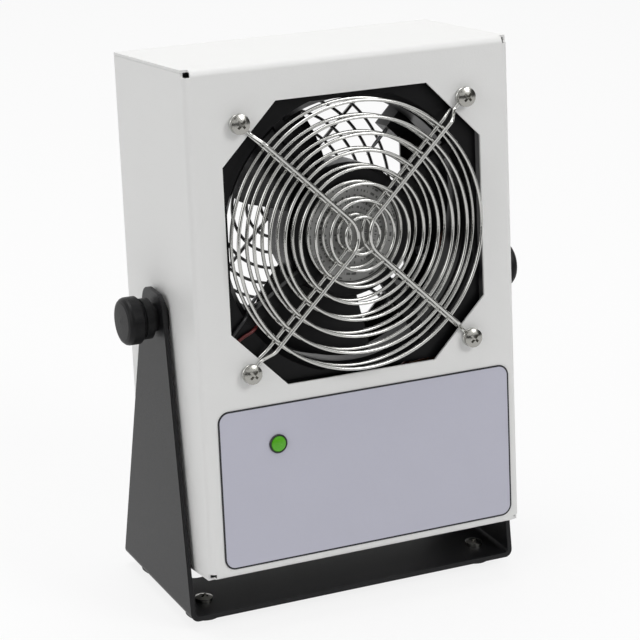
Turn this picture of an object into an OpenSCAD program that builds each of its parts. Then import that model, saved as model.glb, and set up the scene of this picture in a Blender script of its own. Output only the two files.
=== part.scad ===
// Benchtop ionizing air blower: a sheet-steel fan case that tilts in a yoke stand.
// Millimetres, +Z up, the front of the case faces -Y, X runs to the right seen from the front.
// The origin lies on the table, below the middle of the tilt axis.

/* [Case] */
// outer width of the case
case_w = 150; // [146:1:200]
// outer height of the case
case_h = 216; // [206:1:280]
// outer depth of the case, without the wire guards
case_d = 74.5; // [70:0.5:110]
// sheet thickness of the case
case_t = 1.2; // [1:0.1:2]
// outer radius of the front bends
case_bend = 3; // [2:0.5:5]
// height of the fan axis above the bottom of the case
fan_z = 140; // [136:1:146]
// width across flats of the eight-sided air openings
port_w = 120; // [112:1:124]
// length that each corner of the air openings is cut back
port_cut = 25; // [18:1:28]

/* [Stand] */
// outer width over the two arms
stand_w = 158; // [154:1:210]
// sheet thickness of the stand
stand_t = 2; // [1.5:0.5:3]
// outer radius of the two bends between base and arms
stand_bend = 3.5; // [3:0.5:6]
// reach of the base in front of the tilt axis
base_front = 38.5; // [30:0.5:60]
// reach of the base behind the tilt axis
base_back = 37; // [30:0.5:60]
// reach of an arm's top in front of the tilt axis
arm_front = 9.5; // [9:0.5:20]
// reach of an arm's top behind the tilt axis
arm_back = 12.5; // [9:0.5:20]
// height of an arm above the tilt axis
arm_over = 11.5; // [10:0.5:20]
// radius of the arms' top corners
arm_corner = 7; // [3:0.5:9]
// height of the tilt axis above the table
axis_z = 130.5; // [128:0.5:170]
// how far the case leans back at rest
lean = 7; // [0:1:20]

/* [Guards] */
// number of rings in each wire guard
ring_count = 8; // [5:1:9]
// radius of the outermost ring
ring_outer = 56.9; // [54:0.1:58]
// distance between neighbouring rings
ring_pitch = 7; // [5:0.1:7.5]
// wire thickness of the rings
ring_wire = 1.5; // [1:0.1:2]
// wire thickness of the spokes
spoke_wire = 1.7; // [1.2:0.1:2.2]
// half the gap between the two bowed spokes
spoke_apex = 2.8; // [1.5:0.1:6]
// bend radius of the bowed spokes
spoke_bow = 11; // [6:0.5:20]

/* [Fan] */
// width and height of the fan frame
fan_w = 119.5; // [119:0.5:120]
// depth of the fan frame
fan_d = 25.4; // [25.4:0.2:32]
// distance between neighbouring fan screws
screw_pitch = 104.8; // [104:0.1:105.2]
// number of blades
blade_count = 4; // [3:1:6]
// pitch of the blades to the plane of the fan
blade_pitch = 22.5; // [20:0.5:34]
// radius of the turning hub
hub_r = 29; // [26:0.5:31]

/* [Label and lamp] */
// width of the front label
label_w = 139; // [60:1:142]
// height of the front label
label_h = 69; // [30:1:70]
// corner radius of the front label
label_r = 5; // [1:0.5:10]
// height of the lamp above the bottom of the case
lamp_z = 55.4; // [20:0.1:65]
// distance of the lamp from the middle of the case
lamp_x = -41.3; // [-60:0.1:60]

/* [Knobs] */
// diameter of the clamp knobs
knob_d = 20.5; // [16:0.5:30]
// diameter of the thread that clamps the case
stud_d = 6; // [5:1:8]

/* [View] */
// sub-part to show

/* [Hidden] */
$fn = 48;
eps = 0.05;
white = [0.87, 0.87, 0.86];
black = [0.07, 0.07, 0.075];
grey = [0.62, 0.62, 0.63];
chrome = [0.8, 0.81, 0.82];
brass = [0.75, 0.63, 0.35];
green = [0.1, 0.42, 0.22];
red = [0.7, 0.08, 0.06];

half_w = case_w / 2;
screw_x = screw_pitch / 2;

foot_h = 4.5;
foot_d = 16;
foot_x = stand_w / 2 - 12;
foot_front = base_front - 14.5;
foot_back = base_back - 12;
arm_in = stand_w / 2 - stand_t;
window_w = 2 * (foot_x - 2.5);
window_front = 3;
window_back = foot_back - 9;

gap = 2.8;
fan_y = case_t + gap;
fan_back = fan_y + fan_d;
flange_t = 4.5;
mouth_r = 60;
mouth_flat = 114.6;
bore_r = 56.5;
mouth_d = 6;
tip_r = 55.4;
motor_r = 27;
rotor_y = fan_y + 5.5;
rotor_d = fan_d - 6.2;

guard_ring = 4.85;
guard_spoke = guard_ring + (ring_wire + spoke_wire) / 2 - 0.15;
eye_wire = 1.8;
eye_r = 3.3;
guard_eye = eye_wire / 2 + eps;
inner_ring = 2.55;
inner_spoke = inner_ring - (guard_spoke - guard_ring);
inner_eye = case_t + eye_wire / 2 + 0.35;

rear_y = case_d - 0.2;
rear_t = case_t;
rear_w = case_w - 2 * case_t - 0.6;
rear_h = case_h - 2 * case_t - 0.6;
tab_w = 12;
tab_x = half_w - case_t - tab_w / 2;
tab_z = [9, fan_z - 28, case_h - 9];
tab_y = rear_y - rear_t - case_t - 0.02;

inlet_x = 34;
inlet_z = 39;
switch_x = -14;
switch_z = 39;
trim_x = -48;
trim_z = 39;
board_y = 22;

strut_turn = 33;
blade_turn = 44;
mid_blade = 44;
tube_r = 5.6;
tube_d = 19;
bearing_r = 4;
shaft_d = 3;
stator_r = 24.5;
knee_in = 12.5;
ankle_in = 7.4;
screw_r = screw_x * sqrt(2);
needle_d = 1.6;

inlet_w = 27.4;
inlet_h = 30;
inlet_pitch = 40;
switch_w = 12.9;
switch_h = 19.2;
trim_d = 6.3;

board_back = board_y + 1.6 + eps;
block_top = 36;
label_t = 0.3;
inlet_end = rear_y - 24;
switch_end = rear_y - 14;
socket_z = 5.4;
drawer_z = -9.4;
drawer_w = 22;
drawer_h = 7.6;
tray_w = 20.4;
tab_d = 2.6;
inlet_tabs = [[-7, -2], [7, -2], [0, 2.6]];

stand_bracket();
rubber_feet();
foot_screws();
foot_nuts();
front_shell();
back_panel();
front_guard();
inner_guard();
rear_guard();
guard_screws();
guard_nuts();
fan_washers();
rear_guard_screws();
rear_guard_nuts();
panel_screws();
panel_nuts();
fan_frame();
motor_label();
motor_stator();
motor_coils();
motor_bearings();
impeller();
fan_shaft();
emitter_holders();
emitter_needles();
plus_leads();
minus_leads();
ground_leads();
mains_leads();
fan_lead_plus();
fan_lead_minus();
high_voltage_block();
circuit_board();
board_posts();
board_parts();
lamp();
lamp_bezel();
front_label();
power_inlet();
terminals();
fuse_drawer();
inlet_screws();
switch_body();
switch_rocker();
balance_trimmer();
trimmer_nut();
trimmer_screw();
clinch_nuts();
tilt_washers();
knob_left();
knob_stud_left();
knob_right();
knob_stud_right();

// ---------- placing ----------

module in_case() {
    translate([0, 0, axis_z]) rotate([-lean, 0, 0]) translate([0, -case_d / 2, -case_h / 2])
        children();
}

module at_fan(y = 0) {
    in_case() translate([0, y, fan_z]) children();
}

// a flat shape drawn as seen from the front, between two depths
module slab(y0, y1) {
    translate([0, y1, 0]) rotate([90, 0, 0]) linear_extrude(y1 - y0) children();
}

// a flat shape drawn as seen from the right, between two widths
module side_slab(x0, x1) {
    translate([x0, 0, 0]) rotate([90, 0, 90]) linear_extrude(x1 - x0) children();
}

// an upright shape of revolution turned to point to the front
module to_front() {
    rotate([90, 0, 0]) children();
}

// the same turned to point to the back
module to_back() {
    rotate([-90, 0, 0]) children();
}

module at_corners(x, z) {
    for (sx = [-1, 1], sz = [-1, 1]) translate([sx * x, 0, sz * z]) children();
}

// ---------- shared forms ----------

module round_rect(w, h, r) {
    square([w, h - 2 * r], center = true);
    square([w - 2 * r, h], center = true);
    for (sx = [-1, 1], sy = [-1, 1]) translate([sx * (w / 2 - r), sy * (h / 2 - r)]) circle(r);
}

module octagon(w, cut) {
    a = w / 2;
    b = a - cut;
    polygon([[a, b], [b, a], [-b, a], [-a, b], [-a, -b], [-b, -a], [b, -a], [a, -b]]);
}

// outline of a sheet bent round two front corners, open at the back
module bent_outline(w, d, r) {
    translate([-w / 2, r]) square([w, d - r]);
    translate([r - w / 2, 0]) square([w - 2 * r, d]);
    for (s = [-1, 1]) translate([s * (w / 2 - r), r]) circle(r);
}

module bent_sheet(w, d, t, r) {
    difference() {
        bent_outline(w, d, r);
        translate([0, t]) bent_outline(w - 2 * t, d, r - t);
    }
}

module ring(r, wire) {
    rotate_extrude() translate([r, 0]) circle(d = wire);
}

// a wire through a list of points, with slightly larger bends so no faces coincide
module wire(points, d) {
    for (i = [0 : len(points) - 2]) {
        a = points[i];
        v = points[i + 1] - a;
        translate(a) rotate([0, acos(v[2] / norm(v)), atan2(v[1], v[0])])
            cylinder(d = d, h = norm(v));
        if (i > 0) translate(a) sphere(d = d + 0.08);
    }
}

// pan head with a cross recess, head up, shank down, seat at zero
module pan_screw(d, head, length) {
    rise = head * 0.32;
    dome = head * 1.1;
    slot = head * 0.13;
    difference() {
        union() {
            intersection() {
                cylinder(d = head, h = rise);
                translate([0, 0, rise - dome]) sphere(dome);
            }
            translate([0, 0, -length]) cylinder(d = d, h = length + eps);
        }
        for (a = [45, 135]) rotate([0, 0, a]) translate([-head * 0.27, -slot / 2, rise * 0.42])
            cube([head * 0.54, slot, rise]);
    }
}

module hex_nut(af, bore, h) {
    difference() {
        cylinder(d = af / cos(30), h = h, $fn = 6);
        translate([0, 0, -eps]) cylinder(d = bore, h = h + 2 * eps);
    }
}

module washer(outer, inner, h) {
    difference() {
        cylinder(d = outer, h = h);
        translate([0, 0, -eps]) cylinder(d = inner, h = h + 2 * eps);
    }
}

// ---------- stand ----------

// side view of the stand: tangents from the base corners to the rounded tops of the arms
module arm_outline() {
    top = axis_z + arm_over;
    cz = top - arm_corner;
    front = [arm_corner - arm_front, cz];
    back = [arm_back - arm_corner, cz];
    low_f = [-base_front, foot_h];
    low_b = [base_back, foot_h];
    to_f = low_f - front;
    to_b = low_b - back;
    turn_f = atan2(to_f[1], to_f[0]) - acos(arm_corner / norm(to_f));
    turn_b = atan2(to_b[1], to_b[0]) + acos(arm_corner / norm(to_b));
    polygon([low_f, low_b, back + arm_corner * [cos(turn_b), sin(turn_b)], [back[0], top],
        [front[0], top], front + arm_corner * [cos(turn_f), sin(turn_f)]]);
    translate(front) circle(arm_corner);
    translate(back) circle(arm_corner);
}

module at_feet() {
    for (sx = [-1, 1], y = [-foot_front, foot_back]) translate([sx * foot_x, y, foot_h])
        children();
}

module stand_bracket() {
    depth = base_front + base_back + 2;
    mid = (base_back - base_front) / 2;
    bolt_bore = 4.5;
    window_d = window_back + window_front;
    color(black) difference() {
        intersection() {
            translate([0, mid + depth / 2, foot_h]) rotate([90, 0, 0]) linear_extrude(depth)
                bent_sheet(stand_w, axis_z + arm_over, stand_t, stand_bend);
            side_slab(-stand_w, stand_w) arm_outline();
        }
        translate([0, (window_back - window_front) / 2, foot_h - 1]) linear_extrude(stand_t + 2)
            round_rect(window_w, window_d, 4);
        translate([-stand_w, 0, axis_z]) rotate([0, 90, 0]) cylinder(d = stud_d + 0.7, h = 2 * stand_w);
        at_feet() translate([0, 0, -1]) cylinder(d = bolt_bore, h = stand_t + 2);
    }
}

module rubber_feet() {
    edge = 0.8;
    bore = 4.4;
    recess = 9;
    floor_t = 1.6;
    color([0.05, 0.05, 0.05]) at_feet() difference() {
        union() {
            translate([0, 0, edge - foot_h]) cylinder(d = foot_d, h = foot_h - edge);
            translate([0, 0, -foot_h]) cylinder(d1 = foot_d - 2 * edge, d2 = foot_d, h = edge);
        }
        translate([0, 0, -foot_h - eps]) cylinder(d = recess, h = foot_h - floor_t + eps);
        translate([0, 0, -foot_h]) cylinder(d = bore, h = foot_h + 1);
    }
}

module foot_screws() {
    color(chrome) at_feet() translate([0, 0, stand_t + eps]) pan_screw(3.9, 7.6, stand_t + 4.6);
}

module foot_nuts() {
    color(grey) at_feet() translate([0, 0, -4.1]) hex_nut(7, 4, 2.4);
}

// ---------- case ----------

module side_wall(s) {
    x0 = half_w - case_t;
    side_slab(s > 0 ? x0 : -half_w, s > 0 ? half_w : -x0)
        translate([case_bend, case_t + 0.1]) square([case_d - case_bend, case_h - 2 * case_t - 0.2]);
}

module front_shell() {
    flat_w = case_w - 2 * case_bend;
    flat_h = case_h - 2 * case_bend;
    lamp_bore = 7.4;
    hole = 4.4;
    color(white) in_case() difference() {
        union() {
            translate([-flat_w / 2, 0, 0]) rotate([90, 0, 90]) linear_extrude(flat_w)
                translate([0, case_h / 2]) rotate(-90) bent_sheet(case_h, case_d, case_t, case_bend);
            translate([0, 0, case_bend]) linear_extrude(flat_h)
                bent_sheet(case_w, case_d, case_t, case_bend);
            for (s = [-1, 1]) side_wall(s);
            for (z = [0, case_h - case_t]) translate([-half_w, case_bend, z])
                cube([case_w, case_d - case_bend, case_t]);
            for (s = [-1, 1], z = tab_z) translate([s * tab_x, 0, z]) rear_tab();
        }
        translate([0, 0, fan_z]) slab(-1, case_bend) octagon(port_w, port_cut);
        translate([0, case_t + 1, fan_z]) at_corners(screw_x, screw_x) to_front()
            cylinder(d = hole, h = case_t + 2);
        translate([lamp_x, case_t + 1, lamp_z]) to_front() cylinder(d = lamp_bore, h = case_t + 2);
        translate([-case_w, case_d / 2, case_h / 2]) rotate([0, 90, 0])
            cylinder(d = stud_d + 0.6, h = 2 * case_w);
        for (s = [-1, 1], z = tab_z) translate([s * tab_x, tab_y + case_t + 1, z]) to_front()
            cylinder(d = 3.4, h = case_t + 2);
    }
}

module rear_tab() {
    h = 14;
    translate([-tab_w / 2, tab_y, -h / 2]) cube([tab_w, case_t, h]);
}

module back_panel() {
    cut = 0.5;
    color(white) in_case() difference() {
        translate([0, 0, case_h / 2]) slab(rear_y - rear_t, rear_y)
            square([rear_w, rear_h], center = true);
        translate([0, 0, fan_z]) slab(rear_y - 3, rear_y + 1) octagon(port_w, port_cut);
        translate([0, rear_y + 1, fan_z]) at_corners(screw_x, screw_x) to_front()
            cylinder(d = 4.4, h = rear_t + 2);
        for (s = [-1, 1], z = tab_z) translate([s * tab_x, rear_y + 1, z]) to_front()
            cylinder(d = 3.4, h = rear_t + 2);
        translate([inlet_x, 0, inlet_z]) slab(rear_y - 3, rear_y + 1)
            square([inlet_w + cut, inlet_h + cut], center = true);
        for (s = [-1, 1]) translate([inlet_x + s * inlet_pitch / 2, rear_y + 1, inlet_z]) to_front()
            cylinder(d = 3.4, h = rear_t + 2);
        translate([switch_x, 0, switch_z]) slab(rear_y - 3, rear_y + 1)
            square([switch_w + cut, switch_h + cut], center = true);
        translate([trim_x, rear_y + 1, trim_z]) to_front() cylinder(d = trim_d + 0.3, h = rear_t + 2);
    }
}

// ---------- wire guards ----------

// one bowed spoke, from one screw eye past the middle to the next, pointing up
module bowed_spoke(spoke, eye) {
    cx = spoke_apex + spoke_bow;
    to_eye = [screw_x - cx, screw_x];
    turn = atan2(to_eye[1], to_eye[0]) + acos(spoke_bow / norm(to_eye));
    start = [cx + spoke_bow * cos(turn), spoke_bow * sin(turn)];
    run = [screw_x, screw_x] - start;
    dir = run / norm(run);
    knee = [screw_x, screw_x] - dir * knee_in;
    ankle = [screw_x, screw_x] - dir * ankle_in;
    stop = [screw_x, screw_x] - dir * eye_r;
    translate([cx, 0, spoke]) rotate(turn) rotate_extrude(angle = 360 - 2 * turn)
        translate([spoke_bow, 0]) circle(d = spoke_wire + 0.06);
    for (m = [0, 1]) mirror([0, m, 0]) {
        wire([[start[0], start[1], spoke] - 0.1 * [dir[0], dir[1], 0], [knee[0], knee[1], spoke],
            [ankle[0], ankle[1], eye], [stop[0], stop[1], eye]], spoke_wire);
        translate([screw_x, screw_x, eye]) ring(eye_r, eye_wire);
    }
}

// rings welded behind two bowed spokes; heights are measured outwards from the case
module wire_guard(rings, spoke, eye) {
    for (i = [0 : ring_count - 1]) translate([0, 0, rings]) ring(ring_outer - i * ring_pitch, ring_wire);
    for (m = [0, 1]) mirror([m, 0, 0]) bowed_spoke(spoke, eye);
}

module front_guard() {
    color(chrome) at_fan() to_front() wire_guard(guard_ring, guard_spoke, guard_eye);
}

module inner_guard() {
    color(chrome) at_fan() to_front() wire_guard(-inner_ring, -inner_spoke, -inner_eye);
}

module rear_guard() {
    color(chrome) at_fan(rear_y) to_back() wire_guard(guard_ring, guard_spoke, guard_eye);
}

module guard_screws() {
    seat = eye_wire + 2 * eps;
    reach = seat + fan_y + flange_t + 4;
    color(chrome) at_fan(-seat) at_corners(screw_x, screw_x) to_front() pan_screw(3.9, 8.2, reach);
}

module guard_nuts() {
    color(grey) at_fan(fan_y + flange_t + eps) at_corners(screw_x, screw_x) to_back()
        hex_nut(7, 4, 3.2);
}

module fan_washers() {
    y0 = inner_eye + eye_wire / 2 + eps;
    color(grey) at_fan(y0) at_corners(screw_x, screw_x) to_back() washer(8.5, 4.3, fan_y - y0 - eps);
}

module rear_guard_screws() {
    seat = eye_wire + 2 * eps;
    color(chrome) at_fan(rear_y + seat) at_corners(screw_x, screw_x) to_back()
        pan_screw(3.9, 8.2, seat + rear_t + 6);
}

module rear_guard_nuts() {
    color(grey) at_fan(rear_y - rear_t - eps) at_corners(screw_x, screw_x) to_front()
        hex_nut(7, 4, 3.2);
}

module panel_screws() {
    color(chrome) in_case() for (s = [-1, 1], z = tab_z) translate([s * tab_x, rear_y + eps, z])
        to_back() pan_screw(2.9, 5.6, 2 * case_t + 4.2);
}

module panel_nuts() {
    color(grey) in_case() for (s = [-1, 1], z = tab_z) translate([s * tab_x, tab_y - eps, z])
        to_front() washer(6.4, 3, 2.2);
}

// ---------- fan ----------

module fan_frame() {
    bore = 4.4;
    strut_w = 5;
    strut_t = 3.2;
    base_t = 3.4;
    wall = 2.2;
    corner = 4;
    color(black) at_fan() difference() {
        union() {
            difference() {
                union() {
                    slab(fan_y, fan_y + flange_t) round_rect(fan_w, fan_w, corner);
                    slab(fan_back - flange_t, fan_back) round_rect(fan_w, fan_w, corner);
                    translate([0, fan_y + 1, 0]) to_back() cylinder(r = bore_r + wall, h = fan_d - 2);
                }
                translate([0, fan_y - 1, 0]) to_back() cylinder(r = bore_r, h = fan_d + 2);
                for (s = [-1, 1]) translate([0, s > 0 ? fan_back + eps : fan_y - eps, 0])
                    rotate([s * 90, 0, 0]) intersection() {
                        cylinder(r1 = mouth_r, r2 = bore_r - 0.3, h = mouth_d);
                        cube([mouth_flat, mouth_flat, 3 * mouth_d], center = true);
                    }
            }
            for (i = [0 : 3]) rotate([0, -strut_turn - i * 90, 0])
                translate([motor_r - 2, fan_y + 0.2, -strut_w / 2])
                    cube([mouth_r + 3 - motor_r, strut_t, strut_w]);
            translate([0, fan_y + 0.4, 0]) to_back() cylinder(r = motor_r, h = base_t);
            translate([0, fan_y + 1, 0]) to_back() cylinder(r = tube_r, h = tube_d);
        }
        translate([0, fan_y + 2, 0]) to_back() cylinder(r = bearing_r + eps, h = tube_d + 2);
        translate([0, fan_y - 1, 0]) at_corners(screw_x, screw_x) to_back()
            cylinder(d = bore, h = fan_d + 2);
    }
}

module motor_label() {
    color([0.72, 0.72, 0.74]) at_fan(fan_y + 0.35) to_front() cylinder(r = motor_r - 5, h = 0.25);
}

module motor_stator() {
    poles = 4;
    lam_y = rotor_y + 3;
    lam_h = 9;
    color([0.5, 0.5, 0.52]) at_fan(lam_y) to_back() difference() {
        union() {
            cylinder(r = tube_r + 4, h = lam_h);
            intersection() {
                cylinder(r = stator_r, h = lam_h);
                for (i = [0 : poles - 1]) rotate(i * 90 + 45) {
                    translate([0, -3, 0]) cube([stator_r, 6, lam_h]);
                    translate([stator_r - 3.4, -11, 0]) cube([4, 22, lam_h]);
                }
            }
        }
        translate([0, 0, -1]) cylinder(r = tube_r + eps, h = lam_h + 2);
    }
}

module motor_coils() {
    lam_y = rotor_y + 3;
    lam_h = 9;
    coil_w = 11;
    r0 = tube_r + 4.3;
    color([0.72, 0.4, 0.18]) at_fan(lam_y - 1.2) to_back() for (i = [0 : 3]) rotate(i * 90 + 45)
        difference() {
            translate([r0, -coil_w / 2, 0]) cube([stator_r - 3.8 - r0, coil_w, lam_h + 2.4]);
            translate([r0 - 1, -3.1, 1.1]) cube([stator_r, 6.2, lam_h + 0.2]);
        }
}

module motor_bearings() {
    h = 4;
    color(chrome) at_fan() for (y = [fan_y + 2.2, fan_y + tube_d - 3.4]) translate([0, y, 0])
        to_back() washer(2 * bearing_r, shaft_d + 0.1, h);
}

module impeller() {
    wall = 1.8;
    web = 2;
    magnet = 2.2;
    color([0.06, 0.06, 0.065]) at_fan(rotor_y) to_back() {
        difference() {
            cylinder(r = hub_r, h = rotor_d);
            translate([0, 0, -eps]) cylinder(r = hub_r - wall, h = rotor_d - web + eps);
            translate([0, 0, -eps]) cylinder(d = shaft_d + 0.06, h = 2 * rotor_d);
        }
        for (i = [0 : blade_count - 1]) rotate(i * 360 / blade_count + blade_turn) blade();
    }
}

// one blade: a thin curved root-to-tip shape lifted along a screw path
module blade() {
    h = rotor_d - 1.6;
    lead = h / tan(blade_pitch) / mid_blade * 180 / PI;
    t = 2.2;
    root = hub_r - 0.8;
    steps = 8;
    sweep = 25;
    function at(i, s) = let (r = root + (tip_r - root) * i / steps, a = -sweep * i / steps)
        [r * cos(a) - s * t / 2 * sin(a), r * sin(a) + s * t / 2 * cos(a)];
    translate([0, 0, 0.8]) linear_extrude(h, twist = -lead, slices = 12, $fn = 12)
        polygon(concat([for (i = [0 : steps]) at(i, -1)], [for (i = [steps : -1 : 0]) at(i, 1)]));
}

module fan_shaft() {
    color(chrome) at_fan(fan_y + 2.4) to_back() cylinder(d = shaft_d, h = rotor_y + rotor_d - fan_y - 2.8);
}

// ---------- ionizing parts ----------

module emitter_holders() {
    plate = 12;
    plate_t = 3;
    arm_w = 8;
    post = 14;
    color([0.9, 0.9, 0.86]) at_fan(fan_back + eps) for (a = [45, 135, 225, 315]) rotate([0, a, 0])
        difference() {
            union() {
                translate([screw_r - plate / 2, 0, -plate / 2]) cube([plate, plate_t, plate]);
                translate([tip_r - 6, plate_t - 0.5, -arm_w / 2])
                    cube([screw_r - tip_r + 2, post - plate_t, arm_w]);
            }
            translate([screw_r, -1, 0]) to_back() cylinder(d = 4.3, h = post + 2);
            translate([tip_r - 8, post - 5, 0]) rotate([0, 90, 0]) cylinder(d = needle_d + 0.06, h = 24);
        }
}

module emitter_needles() {
    post = 14;
    shank = 16;
    point = 6;
    color([0.78, 0.78, 0.8]) at_fan(fan_back + eps + post - 5) for (a = [45, 135, 225, 315])
        rotate([0, a, 0]) translate([tip_r - 6 + 4, 0, 0]) rotate([0, -90, 0]) {
            cylinder(d = needle_d, h = shank - 4);
            translate([0, 0, shank - 4 - eps]) cylinder(d1 = needle_d, d2 = 0.2, h = point);
        }
}

module lead_path(points, d = 2.2) {
    in_case() wire(points, d);
}

module plus_leads() {
    top = block_top + eps;
    color(red) {
        lead_path([[-51, 38.5, fan_z + 50.4], [-61.5, 40, 184], [-61.5, 40, 62], [-34, 36, 46],
            [-34, 36, top]]);
        lead_path([[51, 38.5, fan_z - 50.4], [58, 36, 82], [20, 32, 60], [-14, 36, 46],
            [-14, 36, top]]);
    }
}

module minus_leads() {
    top = block_top + eps;
    color([0.85, 0.38, 0.06]) {
        lead_path([[-51, 38.5, fan_z - 50.4], [-62, 46, 84], [-58, 44, 62], [-28, 40, 50],
            [-28, 40, top]]);
        lead_path([[51, 38.5, fan_z + 50.4], [61.5, 40, 184], [61.5, 40, 70], [26, 38, 66],
            [-8, 40, 52], [-8, 40, top]]);
    }
}

module ground_leads() {
    color(green) {
        lead_path([[inlet_x, inlet_end - 7, inlet_z + 9], [inlet_x, 40, 60], [-40, 48, 66],
            [-66, 52, 78], [-66, 60, 170], [-58, 64, fan_z + screw_x], [-56.4, 66, fan_z + screw_x]], 1.8);
    }
}

module mains_leads() {
    color([0.35, 0.2, 0.1]) {
        lead_path([[inlet_x - 7, inlet_end - 7, inlet_z + 4], [inlet_x - 10, 41, 48], [6, 46, 50],
            [switch_x + 1, switch_end - 8, switch_z + 5], [switch_x, switch_end - 6.4, switch_z + 5]], 1.8);
        lead_path([[switch_x, switch_end - 6.6, switch_z - 5], [switch_x + 3, 46.4, 26],
            [31, 43.2, 15.4], [46, 33, 13], [48, board_y + 6.2, 11]], 1.8);
    }
}

// fan leads leave the motor behind one strut and pass the lower corner of the frame
module fan_lead(side, out) {
    a = 180 + strut_turn;
    u = [cos(a), 0, sin(a)];
    n = [-sin(a), 0, cos(a)] * side;
    lift = [0, fan_y + 4.6, 0];
    front = [0, fan_y - 1.25, 0];
    at_fan() wire([u * 20 + n + lift, u * 48 + n + lift, u * 53 + n * 3.4 + lift,
        u * 59.6 + n * 3.4 + front, u * 66 + n * 2 + front, [-62.6, fan_y - 1, -41 - out],
        [-62.6, 16, -60 - out], [-58, 30, -62 - out], [-48, 30, -78 - out],
        [-45, 27.5, -82 - out]], 1.4);
}

module fan_lead_plus() {
    color(red) fan_lead(1, 3);
}

module fan_lead_minus() {
    color(black) fan_lead(-1, 0);
}

// ---------- electronics ----------

module high_voltage_block() {
    color([0.09, 0.09, 0.1]) in_case() translate([-52, board_back, 9])
        cube([48, 19, block_top - 9]);
}

module circuit_board() {
    w = 124;
    h = 66;
    z = 7;
    color(green) in_case() difference() {
        translate([-w / 2, board_y, z]) cube([w, 1.6, h]);
        at_posts() translate([0, board_y + 3, 0]) to_front() cylinder(d = 3.3, h = 5);
    }
}

module at_posts() {
    for (x = [-56, 56], z = [12, 68]) translate([x, 0, z]) children();
}

module board_posts() {
    color(brass) in_case() at_posts() {
        translate([0, board_y - eps, 0]) to_front() cylinder(d = 6, h = board_y - case_t - 2 * eps, $fn = 6);
        translate([0, board_back, 0]) to_back() cylinder(d = 5.4, h = 2);
    }
}

module board_parts() {
    color([0.3, 0.3, 0.34]) in_case() translate([0, board_back, 0]) {
        translate([4, 0, 12]) cube([24, 17, 20]);
        translate([6, 0, 40]) cube([14, 9, 10]);
        for (x = [36, 50], z = [22, 36]) translate([x, 0, z]) to_back() cylinder(d = 10, h = 14);
        translate([-44, 0, 52]) cube([30, 6, 9]);
        translate([44, 0, 8]) cube([8, 4, 6]);
    }
}

module lamp() {
    r = 2.5;
    color([0.75, 0.85, 0.75]) in_case() translate([lamp_x, 0, lamp_z]) {
        translate([0, 7, 0]) to_front() {
            cylinder(r = r, h = 7.6);
            translate([0, 0, 7.6]) sphere(r + 0.01);
            cylinder(r = r + 0.4, h = 1);
        }
        for (s = [-1, 1]) translate([s * 1.27, 6.5, 0]) to_back() cylinder(d = 0.7, h = board_y - 6.5 - eps);
    }
}

module lamp_bezel() {
    color(black) in_case() translate([lamp_x, 5, lamp_z]) to_front() difference() {
        union() {
            cylinder(r = 3.55, h = 5.5);
            translate([0, 0, 5 + label_t + 2 * eps]) cylinder(r1 = 4.1, r2 = 3.4, h = 1.2);
        }
        translate([0, 0, -1]) cylinder(r = 2.6, h = 9);
    }
}

module front_label() {
    color([0.68, 0.68, 0.75]) in_case() difference() {
        translate([1.2, 0, 38.3]) slab(-label_t - eps, -eps) round_rect(label_w, label_h, label_r);
        translate([lamp_x, 1, lamp_z]) to_front() cylinder(r = 3.7, h = 2);
    }
}

// ---------- back panel fittings ----------

module power_inlet() {
    flange_w = 49;
    flange_h = 34;
    rim = 2.4;
    color(black) in_case() translate([inlet_x, 0, inlet_z]) difference() {
        union() {
            slab(rear_y + eps, rear_y + rim) round_rect(flange_w, flange_h, 4);
            slab(inlet_end, rear_y + 1) square([inlet_w, inlet_h], center = true);
        }
        translate([0, 0, socket_z]) slab(rear_y - 15, rear_y + 4)
            polygon([[-12, -8], [12, -8], [12, 4.5], [8.5, 8], [-8.5, 8], [-12, 4.5]]);
        translate([0, 0, drawer_z]) slab(rear_y - 17, rear_y + 4)
            square([drawer_w + 0.4, drawer_h + 0.4], center = true);
        for (p = inlet_tabs) translate([p[0], inlet_end + 14, socket_z + p[1]]) to_front()
            cylinder(d = tab_d + 0.1, h = 20);
        for (s = [-1, 1]) translate([s * inlet_pitch / 2, rear_y + 4, 0]) to_front()
            cylinder(d = 3.4, h = 6);
    }
}

module terminals() {
    color(chrome) in_case() {
        for (p = inlet_tabs) translate([inlet_x + p[0], inlet_end - 6, inlet_z + socket_z + p[1]])
            to_back() cylinder(d = tab_d, h = rear_y - 3 - inlet_end + 6);
        for (s = [-1, 1]) translate([switch_x - 2.4, switch_end - 6, switch_z + s * 5 - 0.4])
            cube([4.8, 6 - eps, 0.8]);
    }
}

module fuse_drawer() {
    color([0.12, 0.12, 0.13]) in_case() translate([inlet_x, 0, inlet_z + drawer_z]) difference() {
        union() {
            slab(rear_y - 16, rear_y + 2) square([drawer_w, drawer_h], center = true);
            slab(rear_y + 2.5, rear_y + 4) square([drawer_w + 2, drawer_h + 1], center = true);
            slab(rear_y + 1, rear_y + 3) square([drawer_w, drawer_h], center = true);
        }
        translate([-tray_w / 2, rear_y - 15, -2.6]) cube([tray_w, 14, drawer_h]);
    }
}

module inlet_screws() {
    rim = 2.4;
    color(chrome) in_case() for (s = [-1, 1])
        translate([inlet_x + s * inlet_pitch / 2, rear_y + rim + eps, inlet_z]) to_back()
            pan_screw(2.9, 5.6, 7.5);
}

module switch_body() {
    rim = 1.8;
    color(black) in_case() translate([switch_x, 0, switch_z]) difference() {
        union() {
            slab(rear_y + eps, rear_y + rim) round_rect(switch_w + 2.2, switch_h + 2, 1.2);
            slab(switch_end, rear_y + 1) square([switch_w, switch_h], center = true);
        }
        slab(rear_y - 7, rear_y + 4) square([switch_w - 2.4, switch_h - 2.8], center = true);
    }
}

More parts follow.
